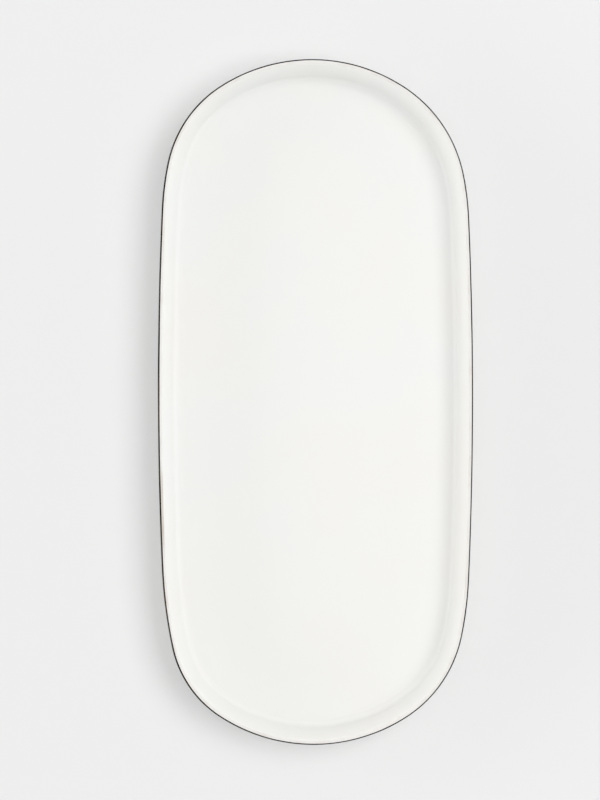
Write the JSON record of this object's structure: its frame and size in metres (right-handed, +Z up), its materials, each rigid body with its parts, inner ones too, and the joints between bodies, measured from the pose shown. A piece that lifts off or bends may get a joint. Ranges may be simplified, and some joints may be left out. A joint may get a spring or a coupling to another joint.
{
  "type": "serving platter",
  "caption": "Oblong white china serving platter with round ends, a low sloping wall, a flat well, a foot ring and a fine dark metal line on the lip.",
  "frame": {"origin": "on the table under the middle of the platter: the centre of its length and width, at the bottom of the foot ring", "axes": "+Z up, out of the well; +Y along the platter; +X across it"},
  "size_m": [0.1656, 0.36, 0.024],
  "materials": {
    "bare_porcelain": "fired, unglazed, polished smooth on the foot",
    "white_glaze": "glossy",
    "platinum_lustre": "polished, dark"
  },
  "bodies": {
    "root": {"porcelain_body": "bare_porcelain", "main_glaze_coat": "white_glaze", "recess_glaze_coat": "white_glaze", "rim_metal_line": "platinum_lustre"}
  },
  "joints": []
}
